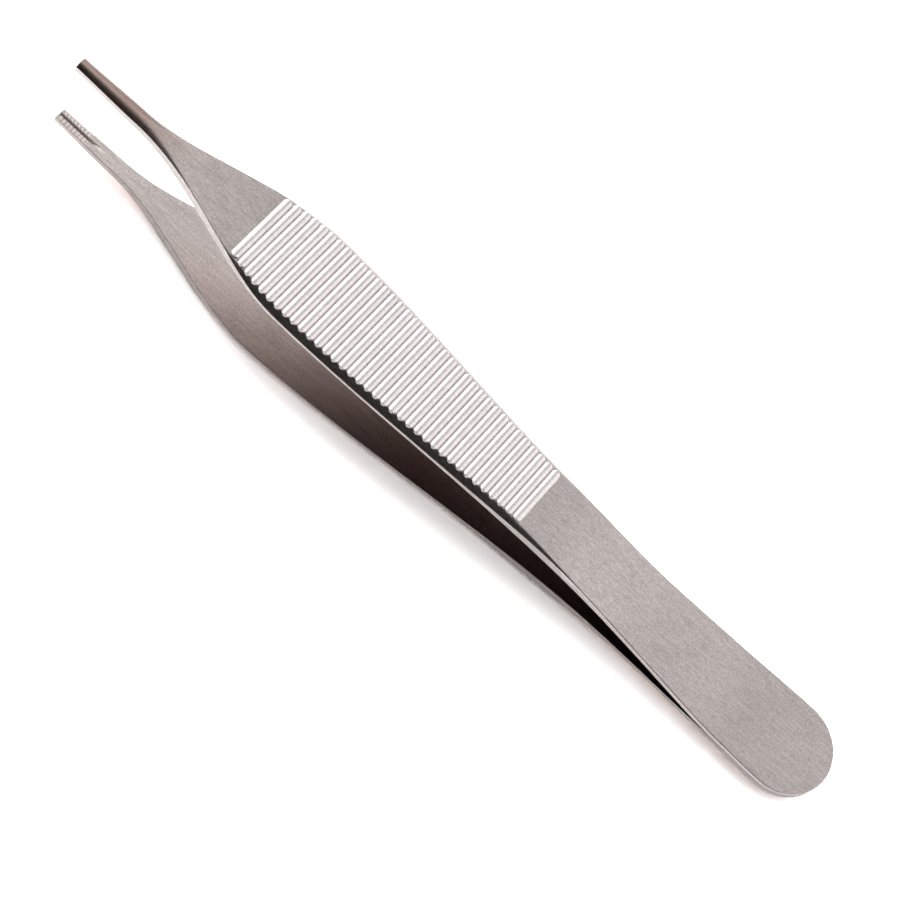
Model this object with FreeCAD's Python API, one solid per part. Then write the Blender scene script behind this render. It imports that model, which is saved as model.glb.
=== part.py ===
import FreeCAD, Part
import math
import os

# Thumb forceps with broad ribbed grips, long slender jaws and two rows of fine teeth in each jaw.
# Two spring arms of stainless steel are welded face to face at the heel and spring apart from there.
# Each arm is modelled on the bench: X runs from the heel to the tips, Y across, Z = 0 is the weld plane.
# At the end the pair is laid down on the ribs of its lower arm, as it rests on a table.
# All sizes are in millimetres and degrees.

# Length and the spread of the arms
LENGTH = 120.0
WELD_LENGTH = 12.0
SPREAD_ANGLE = 4.7
CROTCH_RADIUS = 75.0
BOW_RADIUS = 800.0

# Widths of the plan outline and their places, from the heel or back from the tip
HEEL_WIDTH = 12.0
WAIST_WIDTH = 9.30
WAIST_AT = 37.0
GRIP_WIDTH = 13.7
GRIP_WIDEST_FROM_TIP = 36.5
NECK_WIDTH = 2.16
NECK_FROM_TIP = 9.5
TIP_WIDTH = 1.62

# Thickness of an arm, measured up from its inner face
SPRING_THICKNESS = 0.76
SPRING_END_AT = 27.0
GRIP_START_AT = 45.5
GRIP_HEEL_THICKNESS = 1.50
GRIP_END_FROM_TIP = 27.6
GRIP_FRONT_THICKNESS = 1.33
STRAIGHT_END_FROM_TIP = 24.0
JAW_THICKNESS = 1.25

# Bevelled shoulder between the outer face and the upright side wall
EDGE_DEPTH = 0.10
EDGE_INSET = 0.08
GRIP_SHOULDER_DEPTH = 0.60
GRIP_SHOULDER_INSET = 1.00
JAW_SHOULDER_DEPTH = 0.48
JAW_SHOULDER_INSET = 0.46
GRIP_SHOULDER_FROM = 35.0
GRIP_SHOULDER_FULL = 54.5
GRIP_SHOULDER_FADES_FROM_TIP = 34.0
GRIP_SHOULDER_GONE_FROM_TIP = 26.0
JAW_SHOULDER_FROM_TIP = 17.0

# Ribs of the grip: round-backed bars across the arm, with bevelled corners at both ends
RIB_PITCH = 1.264
RIB_RADIUS = 0.78
RIB_RISE = 0.30
RIB_INSET = 0.80
RIB_CORNER_BEVEL = 0.40
FIRST_RIB_FROM_FRONT = 0.75

# Teeth of the jaws: two rows with a groove between them, which runs out behind them
TEETH = 9
TOOTH_PITCH = 0.54
TOOTH_DEPTH = 0.30
JAW_GROOVE_WIDTH = 0.50
JAW_GROOVE_DEPTH = 0.42
JAW_GROOVE_RUN_OUT = 1.50

# Places measured back from the tip, as distances from the heel; the ribs fill the grip between
GRIP_WIDEST_AT = LENGTH - GRIP_WIDEST_FROM_TIP
NECK_AT = LENGTH - NECK_FROM_TIP
GRIP_END_AT = LENGTH - GRIP_END_FROM_TIP
STRAIGHT_END_AT = LENGTH - STRAIGHT_END_FROM_TIP
GRIP_SHOULDER_FADES = LENGTH - GRIP_SHOULDER_FADES_FROM_TIP
GRIP_SHOULDER_GONE = LENGTH - GRIP_SHOULDER_GONE_FROM_TIP
JAW_SHOULDER_FROM = LENGTH - JAW_SHOULDER_FROM_TIP
RIBBED_LENGTH = GRIP_END_AT - FIRST_RIB_FROM_FRONT - RIB_RADIUS - GRIP_START_AT
RIB_COUNT = 1 + math.floor(RIBBED_LENGTH / RIB_PITCH)

# Sections of the shoulder cutters, and how far cutters reach past the steel
SECTIONS_PER_STRETCH = 3
SHOULDER_REACH = 1.5
TOOL_REACH = 3.0


def blend(value, start, end):
    """S-shaped blend from 0 at start to 1 at end, level at both ends."""
    share = min(max((value - start) / (end - start), 0.0), 1.0)
    return share * share * (3.0 - 2.0 * share)


def between(x, start, end, first, last):
    """Size that goes smoothly from first at start to last at end."""
    return first + (last - first) * blend(x, start, end)


# Inner face: flat weld, short crotch bend, straight spring, long bow that ends level at the tip
SPREAD = math.radians(SPREAD_ANGLE)
CROTCH_END_AT = WELD_LENGTH + CROTCH_RADIUS * math.sin(SPREAD)
CROTCH_END_HEIGHT = CROTCH_RADIUS * (1.0 - math.cos(SPREAD))
BOW_START_AT = LENGTH - BOW_RADIUS * math.sin(SPREAD)
BOW_START_HEIGHT = CROTCH_END_HEIGHT + (BOW_START_AT - CROTCH_END_AT) * math.tan(SPREAD)
TIP_HEIGHT = BOW_START_HEIGHT + BOW_RADIUS * (1.0 - math.cos(SPREAD))


def inner_height(x):
    """Height of the inner face above the weld plane."""
    if x <= WELD_LENGTH:
        return 0.0
    if x <= CROTCH_END_AT:
        return CROTCH_RADIUS - math.sqrt(CROTCH_RADIUS ** 2 - (x - WELD_LENGTH) ** 2)
    if x <= BOW_START_AT:
        return CROTCH_END_HEIGHT + (x - CROTCH_END_AT) * math.tan(SPREAD)
    return TIP_HEIGHT - BOW_RADIUS + math.sqrt(BOW_RADIUS ** 2 - (LENGTH - x) ** 2)


# Outer face: parallel to the spring, a ramp up to the straight grip, then a blend to the level jaw
GRIP_START_HEIGHT = inner_height(GRIP_START_AT) + GRIP_HEEL_THICKNESS
GRIP_FRONT_HEIGHT = inner_height(GRIP_END_AT) + GRIP_FRONT_THICKNESS
GRIP_SLOPE = (GRIP_FRONT_HEIGHT - GRIP_START_HEIGHT) / (GRIP_END_AT - GRIP_START_AT)


def grip_height(x):
    """Height of the straight face that carries the ribs."""
    return GRIP_START_HEIGHT + GRIP_SLOPE * (x - GRIP_START_AT)


def curve_poles(start, start_slope, end, end_slope):
    """Four poles of a cubic curve between two points of a plane, with the given slopes."""
    third = (end[0] - start[0]) / 3.0
    return [start, (start[0] + third, start[1] + start_slope * third),
            (end[0] - third, end[1] - end_slope * third), end]


def curve_height(x, poles):
    """Height of such a curve at x; its poles are evenly spaced along X."""
    share = (x - poles[0][0]) / (poles[3][0] - poles[0][0])
    rest = 1.0 - share
    weights = (rest ** 3, 3.0 * rest ** 2 * share, 3.0 * rest * share ** 2, share ** 3)
    return sum(weight * pole[1] for weight, pole in zip(weights, poles))


RAMP_POLES = curve_poles((SPRING_END_AT, inner_height(SPRING_END_AT) + SPRING_THICKNESS), math.tan(SPREAD),
                         (GRIP_START_AT, GRIP_START_HEIGHT), GRIP_SLOPE)
JAW_POLES = curve_poles((STRAIGHT_END_AT, grip_height(STRAIGHT_END_AT)), GRIP_SLOPE,
                        (LENGTH, TIP_HEIGHT + JAW_THICKNESS), 0.0)


def outer_height(x):
    """Height of the outer face, without the ribs."""
    if x <= SPRING_END_AT:
        return inner_height(x) + SPRING_THICKNESS
    if x <= GRIP_START_AT:
        return curve_height(x, RAMP_POLES)
    if x <= STRAIGHT_END_AT:
        return grip_height(x)
    return curve_height(x, JAW_POLES)


# Plan outline: a half-round heel, then smooth stretches to the waist, the grip, the neck and the tip
HEEL_RADIUS = HEEL_WIDTH / 2.0
OUTLINE = [(HEEL_RADIUS, HEEL_RADIUS), (WAIST_AT, WAIST_WIDTH / 2.0), (GRIP_WIDEST_AT, GRIP_WIDTH / 2.0),
           (NECK_AT, NECK_WIDTH / 2.0), (LENGTH, TIP_WIDTH / 2.0)]


def half_width(x):
    """Half of the arm's width, from the end of the half-round heel to the tip."""
    for (start, first), (end, last) in zip(OUTLINE, OUTLINE[1:]):
        if x <= end:
            return between(x, start, end, first, last)
    return TIP_WIDTH / 2.0


def shoulder(x, edge, grip, jaw):
    """Depth or inset of the shoulder: small on the spring and neck, large on the grip and jaw."""
    if x <= GRIP_SHOULDER_FULL:
        return between(x, GRIP_SHOULDER_FROM, GRIP_SHOULDER_FULL, edge, grip)
    if x <= GRIP_SHOULDER_GONE:
        return between(x, GRIP_SHOULDER_FADES, GRIP_SHOULDER_GONE, grip, edge)
    return between(x, JAW_SHOULDER_FROM, NECK_AT, edge, jaw)


def plan_curve(start, end, side):
    """One stretch of the outline on the given side, level at both ends."""
    poles = curve_poles((start[0], side * start[1]), 0.0, (end[0], side * end[1]), 0.0)
    curve = Part.BezierCurve()
    curve.setPoles([FreeCAD.Vector(x, y, -TOOL_REACH) for x, y in poles])
    return curve.toShape()


def plan_prism():
    """The arm's outline from above, as a block through the full height."""
    def corner(x, y):
        return FreeCAD.Vector(x, y, -TOOL_REACH)

    heel = Part.Arc(corner(HEEL_RADIUS, HEEL_RADIUS), corner(0.0, 0.0), corner(HEEL_RADIUS, -HEEL_RADIUS))
    stretches = list(zip(OUTLINE, OUTLINE[1:]))
    near = [plan_curve(start, end, -1.0) for start, end in stretches]
    far = [plan_curve(start, end, 1.0) for start, end in stretches]
    tip = Part.LineSegment(corner(LENGTH, -TIP_WIDTH / 2.0), corner(LENGTH, TIP_WIDTH / 2.0))
    wire = Part.Wire([heel.toShape()] + near + [tip.toShape()] + list(reversed(far)))
    return Part.Face(wire).extrude(FreeCAD.Vector(0, 0, TIP_HEIGHT + JAW_THICKNESS + 2.0 * TOOL_REACH))


def tooth_points(first_is_crest):
    """Zigzag of the jaw's bite from its back end to the tip, as (x, z)."""
    points = []
    for number in range(2 * TEETH + 1):
        is_crest = (number % 2 == 0) == first_is_crest
        rise = -TOOTH_DEPTH / 2.0 if is_crest else TOOTH_DEPTH / 2.0
        points.append((LENGTH - (2 * TEETH - number) * TOOTH_PITCH / 2.0, TIP_HEIGHT + rise))
    return points


def side_prism(first_is_crest):
    """The arm seen from the side, with the teeth in its inner face, as a block across the width."""
    def corner(x, z):
        return FreeCAD.Vector(x, -GRIP_WIDTH, z)

    def curve(poles):
        bezier = Part.BezierCurve()
        bezier.setPoles([corner(x, z) for x, z in reversed(poles)])
        return bezier.toShape()

    teeth = tooth_points(first_is_crest)
    jaw_start = teeth[0][0]
    crotch_middle = (WELD_LENGTH + CROTCH_END_AT) / 2.0
    bow_middle = (BOW_START_AT + jaw_start) / 2.0
    inner_stops = (0.0, WELD_LENGTH, crotch_middle, CROTCH_END_AT, BOW_START_AT, bow_middle, jaw_start)
    outer_stops = (STRAIGHT_END_AT, GRIP_START_AT, SPRING_END_AT, CROTCH_END_AT, crotch_middle,
                   WELD_LENGTH, 0.0)
    inner = [corner(x, inner_height(x)) for x in inner_stops]
    outer = [corner(x, outer_height(x)) for x in outer_stops]
    bite = [inner[-1]] + [corner(x, z) for x, z in teeth] + [corner(LENGTH, outer_height(LENGTH))]
    edges = [Part.LineSegment(inner[0], inner[1]).toShape(),
             Part.Arc(inner[1], inner[2], inner[3]).toShape(),
             Part.LineSegment(inner[3], inner[4]).toShape(),
             Part.Arc(inner[4], inner[5], inner[6]).toShape()]
    edges += [Part.LineSegment(first, second).toShape() for first, second in zip(bite, bite[1:])]
    edges += [curve(JAW_POLES),
              Part.LineSegment(outer[0], outer[1]).toShape(),
              curve(RAMP_POLES),
              Part.LineSegment(outer[2], outer[3]).toShape(),
              Part.Arc(outer[3], outer[4], outer[5]).toShape(),
              Part.LineSegment(outer[5], outer[6]).toShape(),
              Part.LineSegment(outer[6], inner[0]).toShape()]
    return Part.Face(Part.Wire(edges)).extrude(FreeCAD.Vector(0, 2.0 * GRIP_WIDTH, 0))


def shoulder_section(x, side):
    """Triangle across the arm's edge at x; its long side is the face of the shoulder."""
    depth = shoulder(x, EDGE_DEPTH, GRIP_SHOULDER_DEPTH, JAW_SHOULDER_DEPTH)
    inset = shoulder(x, EDGE_INSET, GRIP_SHOULDER_INSET, JAW_SHOULDER_INSET)

    def corner(out, up):
        return FreeCAD.Vector(x, side * (half_width(x) + out), outer_height(x) + up)

    upper_end = corner(-inset * (1.0 + SHOULDER_REACH), depth * SHOULDER_REACH)
    lower_end = corner(inset * SHOULDER_REACH, -depth * (1.0 + SHOULDER_REACH))
    outer_end = corner(inset * SHOULDER_REACH, depth * SHOULDER_REACH)
    return Part.makePolygon([upper_end, lower_end, outer_end, upper_end])


def shoulder_cutters():
    """Lofted cutters along both sides, and a turned one round the half-round heel."""
    stops = [HEEL_RADIUS, WELD_LENGTH, CROTCH_END_AT, GRIP_SHOULDER_FROM, GRIP_SHOULDER_FULL,
             GRIP_WIDEST_AT, GRIP_SHOULDER_GONE, JAW_SHOULDER_FROM, NECK_AT, LENGTH]
    stations = [start + (end - start) * number / SECTIONS_PER_STRETCH
                for start, end in zip(stops, stops[1:]) for number in range(SECTIONS_PER_STRETCH)]
    stations += [LENGTH, LENGTH + TOOL_REACH]
    sections = [[shoulder_section(x, side) for x in stations] for side in (-1.0, 1.0)]
    sides = [Part.makeLoft(along_side, True, False) for along_side in sections]
    nose_section = Part.Face(shoulder_section(HEEL_RADIUS, 1.0))
    nose = nose_section.revolve(FreeCAD.Vector(HEEL_RADIUS, 0, 0), FreeCAD.Vector(0, 0, 1), 180)
    return sides + [nose]


def block(corners, way):
    """A closed polygon pushed along a direction."""
    return Part.Face(Part.makePolygon(corners + corners[:1])).extrude(way)


def rib(x):
    """One rib: a round-backed bar let into the grip, upright at its ends, with bevelled corners."""
    end = half_width(x) - RIB_INSET
    root = grip_height(x) + RIB_RISE - RIB_RADIUS
    bar = Part.makeCylinder(RIB_RADIUS, 2.0 * end, FreeCAD.Vector(x, -end, root), FreeCAD.Vector(0, 1, 0))
    half = math.sqrt(RIB_RADIUS ** 2 - (RIB_RADIUS - RIB_RISE) ** 2)
    flat = half - RIB_CORNER_BEVEL
    shy = end - RIB_CORNER_BEVEL
    outline = [(half, shy), (flat, end), (-flat, end), (-half, shy),
               (-half, -shy), (-flat, -end), (flat, -end), (half, -shy)]
    corners = [FreeCAD.Vector(x + along, y, root) for along, y in outline]
    return bar.common(block(corners, FreeCAD.Vector(0, 0, RIB_RADIUS)))


def grip_ribs():
    """The ribs of one grip, each as long as the outline lets it be."""
    first = GRIP_END_AT - FIRST_RIB_FROM_FRONT
    return [rib(first - RIB_PITCH * number) for number in range(RIB_COUNT)]


def jaw_groove():
    """Round-bottomed groove between the two rows of teeth, open at the tip, rising out behind them."""
    radius = JAW_GROOVE_WIDTH / 2.0
    start = LENGTH - TEETH * TOOTH_PITCH
    floor = TIP_HEIGHT + JAW_GROOVE_DEPTH
    mouth = TIP_HEIGHT - TOOTH_DEPTH

    def corner(y, z):
        return FreeCAD.Vector(start, y, z)

    left_wall = corner(-radius, floor - radius)
    left_mouth = corner(-radius, mouth)
    right_mouth = corner(radius, mouth)
    right_wall = corner(radius, floor - radius)
    outline = [Part.LineSegment(left_wall, left_mouth),
               Part.LineSegment(left_mouth, right_mouth),
               Part.LineSegment(right_mouth, right_wall),
               Part.Arc(right_wall, corner(0, floor), left_wall)]
    face = Part.Face(Part.Wire([edge.toShape() for edge in outline]))
    between_rows = face.extrude(FreeCAD.Vector(LENGTH - start + TOOL_REACH, 0, 0))
    behind_them = face.extrude(FreeCAD.Vector(-JAW_GROOVE_RUN_OUT, 0, -JAW_GROOVE_DEPTH))
    return [between_rows, behind_them]


def arm(first_is_crest):
    """One arm with its inner face towards the weld plane."""
    blank = side_prism(first_is_crest).common(plan_prism())
    body = blank.cut(shoulder_cutters()).cut(jaw_groove())
    return body.multiFuse(grip_ribs()).Solids[0]


def lay_down(shape, shift, lift):
    """Tips the pair up so that the lower arm's ribs lie level, then moves it to the table."""
    laid = shape.copy()
    laid.rotate(FreeCAD.Vector(0, 0, 0), FreeCAD.Vector(0, 1, 0), -math.degrees(math.atan(GRIP_SLOPE)))
    laid.translate(FreeCAD.Vector(shift, 0, lift))
    return laid


os.makedirs("parts", exist_ok=True)

upper = arm(False)
lower = arm(True).mirror(FreeCAD.Vector(0, 0, 0), FreeCAD.Vector(0, 0, 1))
tipped = Part.Compound([lay_down(upper, 0.0, 0.0), lay_down(lower, 0.0, 0.0)])
bounds = tipped.optimalBoundingBox(False)
middle = (bounds.XMin + bounds.XMax) / 2.0

for name, shape in (("upper_arm", upper), ("lower_arm", lower)):
    lay_down(shape, -middle, -bounds.ZMin).exportStep("parts/" + name + ".step")
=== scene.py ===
import math

import bmesh
import bpy
from mathutils import Matrix, Vector


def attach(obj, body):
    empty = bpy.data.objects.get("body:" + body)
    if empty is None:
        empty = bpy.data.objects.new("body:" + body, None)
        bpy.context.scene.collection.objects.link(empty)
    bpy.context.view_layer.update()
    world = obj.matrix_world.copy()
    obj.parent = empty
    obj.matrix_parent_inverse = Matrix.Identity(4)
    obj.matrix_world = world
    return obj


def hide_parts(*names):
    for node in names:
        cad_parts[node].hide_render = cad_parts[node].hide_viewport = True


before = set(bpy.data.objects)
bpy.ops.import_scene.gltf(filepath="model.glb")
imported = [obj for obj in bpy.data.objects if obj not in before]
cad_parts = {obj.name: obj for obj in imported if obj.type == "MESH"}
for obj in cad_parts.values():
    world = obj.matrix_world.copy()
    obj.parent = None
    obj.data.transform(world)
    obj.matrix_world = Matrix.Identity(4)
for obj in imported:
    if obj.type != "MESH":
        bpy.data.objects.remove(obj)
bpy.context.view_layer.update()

MM = 0.001


def add_object(name, data):
    """An object with that data, linked into the scene."""
    added = bpy.data.objects.new(name, data)
    bpy.context.scene.collection.objects.link(added)
    return added


# The camera of the photograph: a long lens a third of a metre away, above the near side of the
# forceps. Its place and turn were solved from the outlines of both arms.
SENSOR_WIDTH = 36.0
FOCAL_LENGTH = 111.944
NEAREST_SEEN = 0.01
CENTRE_SHIFT = -0.0005
CAMERA_AT = (-21.003, 155.467, 293.931)
CAMERA_TURNS = (23.8897, -15.6785, -141.5274)

camera_data = bpy.data.cameras.new("camera")
camera_data.sensor_width = SENSOR_WIDTH
camera_data.lens = FOCAL_LENGTH
camera_data.clip_start = NEAREST_SEEN
camera_data.shift_x = CENTRE_SHIFT
camera_data.shift_y = CENTRE_SHIFT
camera = add_object("camera", camera_data)
camera.location = Vector(CAMERA_AT) * MM
camera.rotation_euler = [math.radians(turn) for turn in CAMERA_TURNS]
bpy.context.scene.camera = camera
bpy.context.scene.view_settings.view_transform = "Standard"

# The two arms: martensitic stainless steel, forged, ground lengthwise and then blasted with fine
# glass beads, and welded face to face at the heel. Each is flat inside, with a broad shoulder
# along both edges of its grip, a rounded back on its slender jaw, and two rows of teeth.
# On the bench X runs from the heel to the tips and the weld plane is Z = 0, in millimetres.
LENGTH = 120.0
WELD_LENGTH = 12.0
SPREAD = math.radians(4.7)
CROTCH_RADIUS = 75.0
BOW_RADIUS = 800.0
SPRING_THICKNESS, SPRING_END_AT = 0.76, 27.0
GRIP_START_AT, GRIP_HEEL_THICKNESS = 45.5, 1.50
GRIP_END_AT, GRIP_FRONT_THICKNESS = 92.4, 1.33
STRAIGHT_END_AT, JAW_THICKNESS = 96.0, 1.25

# The heel is trimmed a hair, so that the arm stays inside the box of the solids.
HEEL_TRIM = 0.01

# Half widths along the arm. The first is also the radius of the half-round heel.
PLAN_STATIONS = [(6.0, 6.0), (37.0, 4.65), (83.5, 6.85), (110.5, 1.07), (LENGTH, 0.85)]

# Shoulders along the arm: how far each reaches in and down from the corner of the outer face,
# and how far in and down from that corner its curve is pulled, as shares of these.
EDGE_SHOULDER = (0.08, 0.10, 0.25, 0.25)
GRIP_SHOULDER = (1.00, 0.60, 0.42, 0.42)
JAW_SHOULDER = (1.05, 0.42, 0.50, 0.0)
SHOULDER_STATIONS = [(35.0, EDGE_SHOULDER), (54.5, GRIP_SHOULDER), (86.0, GRIP_SHOULDER),
                     (94.0, EDGE_SHOULDER), (100.0, EDGE_SHOULDER), (111.0, JAW_SHOULDER)]

# The teeth, and the groove between their two rows. Its wall bends at these shares of its half
# width and depth.
TEETH, TOOTH_PITCH, TOOTH_DEPTH = 9, 0.54, 0.20
FIRST_TOOTH_STEP = 0.02
GROOVE_WIDTH, GROOVE_DEPTH, GROOVE_RUN_OUT = 0.44, 0.42, 1.50
GROOVE_BEND_OUT, GROOVE_BEND_UP = 0.7, 0.75

# The blunted lower edge, and the narrow ring that keeps the outer face flat beside its shoulder.
# Where the arm is narrow, the shoulder, that edge and the groove take at most these shares of its
# half width, and the ring ends at the last of them.
LOWER_EDGE = 0.05
FACE_RING = 0.12
MOST_INSET, MOST_EDGE, MOST_SLOT, LEAST_FACE = 0.96, 0.3, 0.4, 0.02

# How finely the mesh follows these shapes, how near to each other two of its points are one, and
# from which angle an edge shows as sharp.
STATION_STEP = 1.1
HEEL_STEPS = 14
SHOULDER_STEPS = 6
SAME_PLACE = 0.0005
SHARP_ANGLE = math.radians(28.0)


def smooth_step(value, start, end, first, last):
    """Size that goes smoothly from first at start to last at end."""
    share = min(max((value - start) / (end - start), 0.0), 1.0)
    return first + (last - first) * share * share * (3.0 - 2.0 * share)


def stretch(stations, x):
    """The two neighbouring stations round x, or the first or last two for an x beyond them."""
    pairs = list(zip(stations, stations[1:]))
    return next((pair for pair in pairs if x <= pair[1][0]), pairs[-1])


def half_width(x):
    """Half of the arm's width: a half-round heel, then level stations with smooth stretches."""
    heel = PLAN_STATIONS[0][0]
    if x < heel:
        return math.sqrt(heel ** 2 - (heel - x) ** 2)
    (start, first), (end, last) = stretch(PLAN_STATIONS, x)
    return smooth_step(x, start, end, first, last)


def shoulder(x):
    """Inset and depth of the shoulder at x, and how far in and down its curve is pulled."""
    (start, first), (end, last) = stretch(SHOULDER_STATIONS, x)
    return [smooth_step(x, start, end, *sizes) for sizes in zip(first, last)]


CROTCH_END_AT = WELD_LENGTH + CROTCH_RADIUS * math.sin(SPREAD)
CROTCH_END_HEIGHT = CROTCH_RADIUS * (1.0 - math.cos(SPREAD))
BOW_START_AT = LENGTH - BOW_RADIUS * math.sin(SPREAD)
BOW_START_HEIGHT = CROTCH_END_HEIGHT + (BOW_START_AT - CROTCH_END_AT) * math.tan(SPREAD)
TIP_HEIGHT = BOW_START_HEIGHT + BOW_RADIUS * (1.0 - math.cos(SPREAD))


def inner_height(x):
    """Height of the inner face: flat weld, crotch bend, straight spring, long bow to the tip."""
    if x <= WELD_LENGTH:
        return 0.0
    if x <= CROTCH_END_AT:
        return CROTCH_RADIUS - math.sqrt(CROTCH_RADIUS ** 2 - (x - WELD_LENGTH) ** 2)
    if x <= BOW_START_AT:
        return CROTCH_END_HEIGHT + (x - CROTCH_END_AT) * math.tan(SPREAD)
    return TIP_HEIGHT - BOW_RADIUS + math.sqrt(BOW_RADIUS ** 2 - (LENGTH - x) ** 2)


GRIP_START_HEIGHT = inner_height(GRIP_START_AT) + GRIP_HEEL_THICKNESS
GRIP_FRONT_HEIGHT = inner_height(GRIP_END_AT) + GRIP_FRONT_THICKNESS
GRIP_SLOPE = (GRIP_FRONT_HEIGHT - GRIP_START_HEIGHT) / (GRIP_END_AT - GRIP_START_AT)


def grip_height(x):
    """Height of the straight face that carries the ribs."""
    return GRIP_START_HEIGHT + GRIP_SLOPE * (x - GRIP_START_AT)


def curve_height(x, start, start_slope, end, end_slope):
    """Height at x of the cubic curve between two points of a plane, with the given slopes."""
    third = (end[0] - start[0]) / 3.0
    share = (x - start[0]) / (end[0] - start[0])
    rest = 1.0 - share
    heights = (start[1], start[1] + third * start_slope, end[1] - third * end_slope, end[1])
    weights = (rest ** 3, 3.0 * rest ** 2 * share, 3.0 * rest * share ** 2, share ** 3)
    return sum(weight * height for weight, height in zip(weights, heights))


def outer_height(x):
    """Height of the outer face: spring, ramp up to the straight grip, blend to the level jaw."""
    if x <= SPRING_END_AT:
        return inner_height(x) + SPRING_THICKNESS
    if x <= GRIP_START_AT:
        spring_end = (SPRING_END_AT, inner_height(SPRING_END_AT) + SPRING_THICKNESS)
        grip_start = (GRIP_START_AT, GRIP_START_HEIGHT)
        return curve_height(x, spring_end, math.tan(SPREAD), grip_start, GRIP_SLOPE)
    if x <= STRAIGHT_END_AT:
        return grip_height(x)
    straight_end = (STRAIGHT_END_AT, grip_height(STRAIGHT_END_AT))
    return curve_height(x, straight_end, GRIP_SLOPE, (LENGTH, TIP_HEIGHT + JAW_THICKNESS), 0.0)


def section(x, inner, groove):
    """The arm cut across at x, as (y, z) once round; inner is its inner height there."""
    half = half_width(x)
    outer = outer_height(x)
    inset, depth, pull_in, pull_down = shoulder(x)
    inset = min(inset, MOST_INSET * half)
    edge = min(LOWER_EDGE, MOST_EDGE * half)
    slot = min(GROOVE_WIDTH / 2.0, MOST_SLOT * half)
    low, high = (half, outer - depth), (half - inset, outer)
    pull = (half - pull_in * inset, outer - pull_down * depth)
    side = [(0.0, inner + groove), (GROOVE_BEND_OUT * slot, inner + GROOVE_BEND_UP * groove),
            (slot, inner), (half - edge, inner), (half, inner + edge)]
    for step in range(SHOULDER_STEPS + 1):
        share = step / SHOULDER_STEPS
        weights = ((1.0 - share) ** 2, 2.0 * share * (1.0 - share), share ** 2)
        side.append(tuple(sum(w * point[axis] for w, point in zip(weights, (low, pull, high)))
                          for axis in (0, 1)))
    side += [(max(half - inset - FACE_RING, LEAST_FACE * half), outer), (0.0, outer)]
    return side + [(-y, z) for y, z in reversed(side[1:-1])]


def arm_stations(first_is_crest):
    """Where the arm is cut across, as (x, inner height, depth of the groove)."""
    heel = PLAN_STATIONS[0][0]
    jaw_start = LENGTH - TEETH * TOOTH_PITCH
    run_out = jaw_start - GROOVE_RUN_OUT
    turns = [math.pi / 2.0 * step / HEEL_STEPS for step in range(HEEL_STEPS)]
    places = [heel * (1.0 - math.cos(turn)) for turn in turns]
    steps = round((run_out - heel) / STATION_STEP)
    places += [heel + (run_out - heel) * step / steps for step in range(steps + 1)]
    stations = [(x, inner_height(x), 0.0) for x in places]
    stations.append((jaw_start - FIRST_TOOTH_STEP, inner_height(jaw_start), GROOVE_DEPTH))
    for number in range(2 * TEETH + 1):
        is_crest = (number % 2 == 0) == first_is_crest
        rise = -TOOTH_DEPTH / 2.0 if is_crest else TOOTH_DEPTH / 2.0
        x = LENGTH - (2 * TEETH - number) * TOOTH_PITCH / 2.0
        stations.append((x, TIP_HEIGHT + rise, GROOVE_DEPTH - rise))
    return stations


def draw_out(mesh, edges):
    """Extrude the edges on the spot: the new vertices and the new edges."""
    drawn = bmesh.ops.extrude_edge_only(mesh, edges=edges)["geom"]
    return [[part for part in drawn if isinstance(part, kind)]
            for kind in (bmesh.types.BMVert, bmesh.types.BMEdge)]


def arm_mesh(first_is_crest):
    """One arm on the bench: its section extruded from station to station, closed at the tip."""
    stations = arm_stations(first_is_crest)
    outline = section(*stations[0])
    mesh = bmesh.new()
    number = mesh.verts.layers.int.new("number")
    first = bmesh.ops.create_circle(mesh, segments=len(outline), radius=1.0)["verts"]
    for index, vert in enumerate(first):
        vert[number] = index
        vert.co = (HEEL_TRIM, *outline[index])
    edges = list(mesh.edges)
    for x, inner, groove in stations[1:]:
        outline = section(x, inner, groove)
        verts, edges = draw_out(mesh, edges)
        for vert in verts:
            vert.co = (x, *outline[vert[number]])
    bmesh.ops.contextual_create(mesh, geom=edges)
    bmesh.ops.remove_doubles(mesh, verts=mesh.verts, dist=SAME_PLACE)
    bmesh.ops.recalc_face_normals(mesh, faces=mesh.faces)
    return mesh


# The pair is laid down on the ribs of its lower arm, as it rests on a table.
RIB_RISE = 0.30
HEEL_AT = -60.088

rest_tilt = math.atan(GRIP_SLOPE)
rest_lift = (grip_height(0.0) + RIB_RISE) * math.cos(rest_tilt)
laid_down = Matrix.Scale(MM, 4) @ Matrix.Translation((HEEL_AT, 0.0, rest_lift))
laid_down = laid_down @ Matrix.Rotation(-rest_tilt, 4, "Y")
mirrored = Matrix.Diagonal((1.0, 1.0, -1.0, 1.0))
arm_places = {"upper_arm": laid_down, "lower_arm": laid_down @ mirrored}


def add_mesh(name, mesh, materials):
    """An object with that mesh and those materials."""
    data = bpy.data.meshes.new(name)
    mesh.to_mesh(data)
    mesh.free()
    for material in materials:
        data.materials.append(material)
    return add_object(name, data)


def finish_piece(name, mesh, place, materials):
    """A smooth piece of the forceps, moved from the bench to the table, with its materials."""
    bmesh.ops.transform(mesh, matrix=place, verts=mesh.verts)
    bmesh.ops.recalc_face_normals(mesh, faces=mesh.faces)
    for face in mesh.faces:
        face.smooth = True
    for edge in mesh.edges:
        edge.smooth = len(edge.link_faces) == 2 and edge.calc_face_angle() < SHARP_ANGLE
    piece = add_mesh(name, mesh, materials)
    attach(piece, "root")
    return piece


def linear(colour):
    """Linear RGBA of a #rrggbb colour, by the sRGB curve."""
    shares = [int(colour[i:i + 2], 16) / 255.0 for i in (1, 3, 5)]
    return [s / 12.92 if s <= 0.04045 else ((s + 0.055) / 1.055) ** 2.4 for s in shares] + [1.0]


def emptied_tree(owner):
    """The node tree of a material or a world, emptied."""
    owner.use_nodes = True
    owner.node_tree.nodes.clear()
    return owner.node_tree


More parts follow.
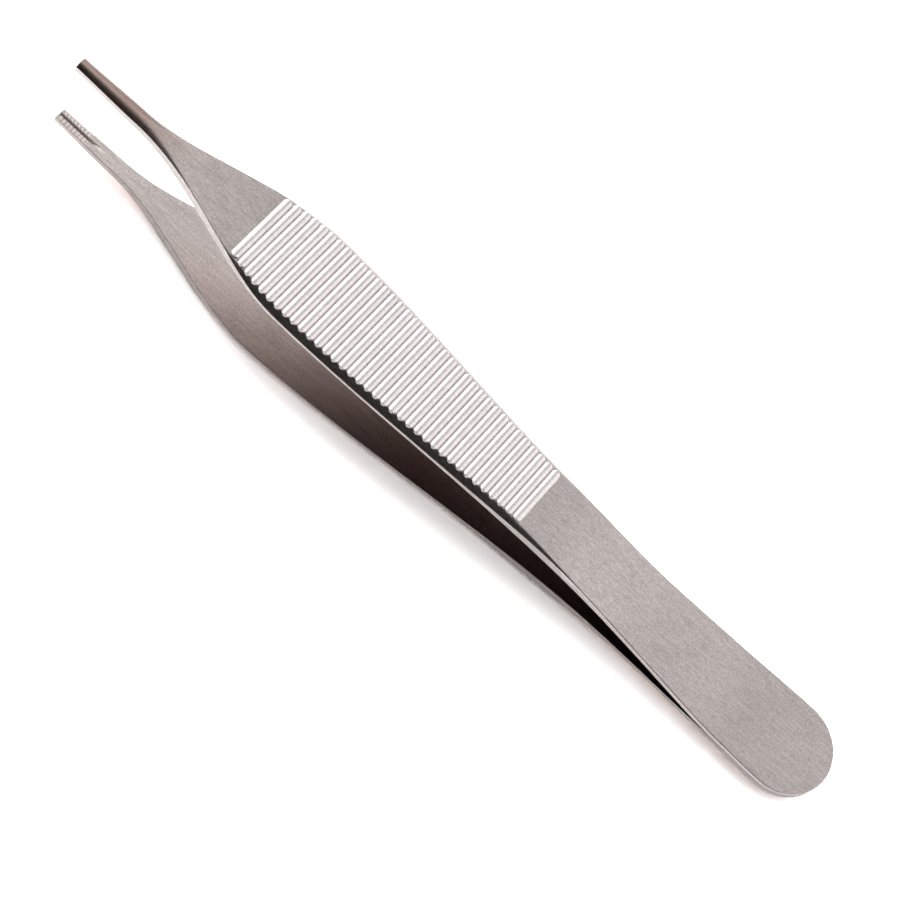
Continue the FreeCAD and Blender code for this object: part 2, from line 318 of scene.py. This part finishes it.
def add_node(tree, kind, inputs=None, **settings):
    """A node of that kind with its settings; an input is a value or another node's output."""
    node = tree.nodes.new(kind)
    for name, value in settings.items():
        setattr(node, name, value)
    for name, value in (inputs or {}).items():
        if isinstance(value, bpy.types.NodeSocket):
            tree.links.new(value, node.inputs[name])
        else:
            node.inputs[name].default_value = value
    return node


def add_scaled(tree, value, factor, base):
    """Output of a node that adds a value, times a factor, to a base."""
    return add_node(tree, "ShaderNodeMath", {0: value, 1: factor, 2: base},
                    operation="MULTIPLY_ADD").outputs[0]


def map_range(tree, value, source=(0.0, 1.0), target=(0.0, 1.0), **settings):
    """Output of a node that maps a value from a source range to a target range."""
    return add_node(tree, "ShaderNodeMapRange",
                    {"Value": value, "From Min": source[0], "From Max": source[1],
                     "To Min": target[0], "To Max": target[1]}, **settings).outputs[0]


def mix_colours(tree, share, first, last, **settings):
    """Output of a node that mixes two colours; its sockets for colours go by number."""
    return add_node(tree, "ShaderNodeMix", {"Factor": share, 6: first, 7: last},
                    data_type="RGBA", **settings).outputs[2]


# The steel of the arms: blasting leaves a soft satin grey with a fine grain, in which the grinding
# still shows as faint streaks. Painted shade darkens the inner faces down in the fork, between the
# arms, and the backs of the jaws towards the tips. The grain is drawn a little coarser than real.
# A pair of colours is light and dark. A painted shade is a start and an end in X, with the colour
# at each.
SATIN_COLOURS = ("#cfc6c3", "#aba29f")
# Painted shade on the inner faces, darkest at the heel end of the fork.
FORK_PAINTED_SHADE = (-2.0 * MM, 34.0 * MM, "#998c8a", "#ffffff")
# Painted shade on the backs of the jaws, darkest at the tips.
JAW_PAINTED_SHADE = (40.0 * MM, 52.0 * MM, "#ffffff", "#d6c5bf")
NO_PAINTED_SHADE = (0.0, MM, "#ffffff", "#ffffff")
BLASTED_ROUGHNESS, GROUND_ROUGHNESS, ROUGHNESS_SPREAD = 0.32, 0.30, 0.04
DEEP_GRAIN, SHALLOW_GRAIN = 0.008 * MM, 0.006 * MM
CLOUD_SIZE, CLOUD_DETAIL = 6.0 * MM, 3.0
GRAIN_SIZE, GRAIN_DETAIL = 0.20 * MM, 2.0
STREAK_WIDTH, STREAK_DETAIL, STREAK_STRETCH = 0.25 * MM, 1.0, 0.06
CLOUDS_IN_STREAKS = 0.4
STREAKS_IN_GRAIN = 0.5
GRAIN_RANGE = (0.63, 1.07)
BUMP_STRENGTH = 0.8


def noise(tree, place, size, detail):
    """Output of a noise texture with that size and detail."""
    return add_node(tree, "ShaderNodeTexNoise",
                    {"Vector": place, "Scale": 1.0 / size, "Detail": detail}).outputs["Fac"]


def steel(name, colours, roughness, grain_depth, painted_shade_span):
    """Blasted or ground steel: cloudy colour darkened by a painted shade along X, grain and
    streaks in bump, grain in roughness.
    """
    material = bpy.data.materials.new(name)
    tree = emptied_tree(material)
    place = add_node(tree, "ShaderNodeTexCoord").outputs["Object"]
    along = add_node(tree, "ShaderNodeMapping",
                     {"Vector": place, "Scale": (STREAK_STRETCH, 1.0, 1.0)}).outputs[0]
    clouds = noise(tree, place, CLOUD_SIZE, CLOUD_DETAIL)
    grain = noise(tree, place, GRAIN_SIZE, GRAIN_DETAIL)
    streaks = noise(tree, along, STREAK_WIDTH, STREAK_DETAIL)
    broad = add_scaled(tree, clouds, CLOUDS_IN_STREAKS, streaks)
    fine = add_scaled(tree, broad, STREAKS_IN_GRAIN, grain)
    light, dark = colours
    colour = mix_colours(tree, map_range(tree, fine, GRAIN_RANGE), linear(dark), linear(light))
    # Painted shade: the colour is darkened along X, from the first colour at the start to the last
    # at the end.
    place_x = add_node(tree, "ShaderNodeSeparateXYZ", {"Vector": place}).outputs["X"]
    start, end, first, last = painted_shade_span
    depth = map_range(tree, place_x, (start, end), interpolation_type="SMOOTHSTEP")
    painted_shade_colour = mix_colours(tree, depth, linear(first), linear(last))
    polish = map_range(tree, grain,
                       target=(roughness - ROUGHNESS_SPREAD, roughness + ROUGHNESS_SPREAD))
    bump = add_node(tree, "ShaderNodeBump",
                    {"Strength": BUMP_STRENGTH, "Distance": grain_depth, "Height": fine})
    shader = add_node(tree, "ShaderNodeBsdfPrincipled",
                      {"Base Color": mix_colours(tree, 1.0, colour, painted_shade_colour, blend_type="MULTIPLY"),
                       "Metallic": 1.0, "Roughness": polish, "Normal": bump.outputs[0]})
    add_node(tree, "ShaderNodeOutputMaterial", {"Surface": shader.outputs[0]})
    return material


# The backs of the arms face up on the bench and the inner faces down; the rest are edges.
BACK_FACES_UP = 0.2
INNER_FACES_UP = -0.05

# The first two carry painted shade: on the backs of the jaws and down in the fork.
arm_steels = [
    steel("bead_blasted_steel_with_painted_shade_on_the_jaws", SATIN_COLOURS, BLASTED_ROUGHNESS, DEEP_GRAIN, JAW_PAINTED_SHADE),
    steel("ground_steel_with_painted_shade_in_the_fork", SATIN_COLOURS, GROUND_ROUGHNESS, DEEP_GRAIN,
          FORK_PAINTED_SHADE),
    steel("ground_steel_of_the_edges", SATIN_COLOURS, GROUND_ROUGHNESS, SHALLOW_GRAIN, NO_PAINTED_SHADE),
]
for arm, place in arm_places.items():
    mesh = arm_mesh(first_is_crest=arm == "lower_arm")
    for face in mesh.faces:
        up = face.normal.z
        face.material_index = 0 if up > BACK_FACES_UP else 1 if up < INNER_FACES_UP else 2
    piece = finish_piece(arm + "_steel", mesh, place, arm_steels)
    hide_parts(arm)

# The ribs of the grips: 36 round-backed bars across each arm, milled from the same steel, with a
# painted highlight: lighter colours than the flats. Each ends upright, in a half round, short of
# the edge, and the front ones reach nearer to it. Its foot is sunk into the arm.
RIB_COUNT = 36
RIB_PITCH = 1.264
RIB_RADIUS = 0.785
RIB_FRONT_MARGIN = 0.75
FIRST_RIB_AT = GRIP_END_AT - RIB_FRONT_MARGIN
RIB_INSET = 0.68
FRONT_RIB_INSET, FRONT_RIBS_FROM = 0.38, 83.0
RIB_SUNK = 0.06
RIB_END_SUNK = 0.30
RIB_ARC_STEPS = 18
RIB_LIP, RIB_LIP_RING, RIB_LIP_STEPS, ROUND_LIP = 0.10, 0.20, 3, 0.5
RIB_SLIVER = 0.002
# Lighter than the satin of the flats: a painted highlight on the ribs.
RIB_PAINTED_LIGHT_COLOURS = ("#e0dbda", "#c6c1c0")


def add_rib(mesh, x):
    """One rib: its arc drawn out to both ends, which are half round from above and upright."""
    face = grip_height(x)
    root = face + RIB_RISE - RIB_RADIUS
    half_arc = math.acos((face - root - RIB_SUNK) / RIB_RADIUS)
    half = RIB_RADIUS * math.sin(half_arc)
    foot = root + RIB_RADIUS * math.cos(half_arc)
    inset = smooth_step(x, FRONT_RIBS_FROM, FIRST_RIB_AT, RIB_INSET, FRONT_RIB_INSET)
    straight = half_width(x) - inset - half
    first = mesh.verts.new((x - half, 0.0, foot))
    bmesh.ops.spin(mesh, geom=[first], cent=(x, 0.0, root), axis=(0.0, 1.0, 0.0),
                   angle=2.0 * half_arc, steps=RIB_ARC_STEPS)
    middle = [edge for edge in mesh.edges if edge.is_wire]
    for side in (-1.0, 1.0):
        edges = middle
        for short in (RIB_LIP_RING, 0.0):
            verts, edges = draw_out(mesh, edges)
            for vert in verts:
                round_end = math.sqrt(max(half ** 2 - (vert.co.x - x) ** 2, 0.0))
                vert.co.y = side * (straight + round_end - short)
        for vert in draw_out(mesh, edges)[0]:
            vert.co.z = foot - RIB_END_SUNK
        bmesh.ops.bevel(mesh, geom=edges, offset=RIB_LIP, offset_type="OFFSET", affect="EDGES",
                        segments=RIB_LIP_STEPS, profile=ROUND_LIP, material=-1,
                        clamp_overlap=True)
    rim = [edge for edge in mesh.edges if edge.is_boundary]
    below = draw_out(mesh, rim)[0]
    bmesh.ops.pointmerge(mesh, verts=below, merge_co=Vector((x, 0.0, foot - RIB_END_SUNK)))


rib_steel = steel("rib_steel_with_painted_highlight", RIB_PAINTED_LIGHT_COLOURS, BLASTED_ROUGHNESS, SHALLOW_GRAIN,
                  NO_PAINTED_SHADE)
for arm, place in arm_places.items():
    mesh = bmesh.new()
    for number in range(RIB_COUNT):
        add_rib(mesh, FIRST_RIB_AT - RIB_PITCH * number)
    bmesh.ops.dissolve_degenerate(mesh, dist=RIB_SLIVER, edges=mesh.edges)
    finish_piece(arm + "_ribs", mesh, place, [rib_steel])

# The table under the forceps: matt white board. The camera and the steel see it overexposed, as
# in a product photograph, so that only the tight shadow along the arms is left of its shading.
# It lies a hair below the ribs that rest on it.
TABLE_SIZE = 4.0
TABLE_HEIGHT = -0.02 * MM
TABLE_WHITE = 0.9
TABLE_SEEN = 2.2
TABLE_MIRRORED = 1.3

board = bpy.data.materials.new("matt_white_board")
tree = emptied_tree(board)
paths = add_node(tree, "ShaderNodeLightPath").outputs
white = add_scaled(tree, paths["Is Glossy Ray"], TABLE_MIRRORED, TABLE_WHITE)
white = add_scaled(tree, paths["Is Camera Ray"], TABLE_SEEN, white)
matt = add_node(tree, "ShaderNodeBsdfDiffuse", {"Color": white})
add_node(tree, "ShaderNodeOutputMaterial", {"Surface": matt.outputs[0]})

mesh = bmesh.new()
bmesh.ops.create_grid(mesh, x_segments=1, y_segments=1, size=TABLE_SIZE / 2.0)
bmesh.ops.translate(mesh, verts=mesh.verts, vec=(0.0, 0.0, TABLE_HEIGHT))
table = add_mesh("table", mesh, [board])

# The studio: soft boxes past the heel and past the tips light the flanks of the ribs, a pale
# ceiling towards the far side lights the flats, a little dimmer at the horizon, and the room
# behind the camera is dark, which the shoulders of the grips mirror as a black band. Directions
# are told apart by their Y, which is 1 towards the near side. The camera sees plain white.
ROOM_PALE, ROOM_DARK, ROOM_DARKENS = 1.0, 0.01, (-0.30, 0.25)
HORIZON_SHARE, HORIZON_FADES = 0.95, (-0.95, -0.70)
ROOM_SEEN = 1.0

world = bpy.data.worlds.new("studio")
bpy.context.scene.world = world
tree = emptied_tree(world)
way = add_node(tree, "ShaderNodeTexCoord").outputs["Generated"]
way_y = add_node(tree, "ShaderNodeSeparateXYZ", {"Vector": way}).outputs["Y"]
near = map_range(tree, way_y, ROOM_DARKENS, (ROOM_PALE, ROOM_DARK),
                 interpolation_type="SMOOTHSTEP")
far = map_range(tree, way_y, HORIZON_FADES, (HORIZON_SHARE, 1.0),
                interpolation_type="SMOOTHSTEP")
room = add_node(tree, "ShaderNodeMath", {0: near, 1: far}, operation="MULTIPLY")
paths = add_node(tree, "ShaderNodeLightPath").outputs
level = add_node(tree, "ShaderNodeMix",
                 {"Factor": paths["Is Camera Ray"], "A": room.outputs[0], "B": ROOM_SEEN},
                 data_type="FLOAT")
backdrop = add_node(tree, "ShaderNodeBackground", {"Strength": level.outputs[0]})
add_node(tree, "ShaderNodeOutputWorld", {"Surface": backdrop.outputs[0]})


def soft_box(name, place, size, radiance):
    """A rectangular soft box that faces the forceps; radiance 1 shows as white."""
    data = bpy.data.lights.new(name, "AREA")
    data.shape = "RECTANGLE"
    data.size, data.size_y = size
    data.energy = radiance * math.pi * size[0] * size[1]
    lamp = add_object(name, data)
    lamp.location = place
    lamp.rotation_mode = "QUATERNION"
    lamp.rotation_quaternion = (-Vector(place)).to_track_quat("-Z", "Y")


soft_box("soft_box_tips", place=(0.85, -0.27, 0.62), size=(1.7, 1.25), radiance=1.3)
soft_box("soft_box_heel", place=(-0.90, -0.30, 0.52), size=(1.7, 1.05), radiance=0.70)
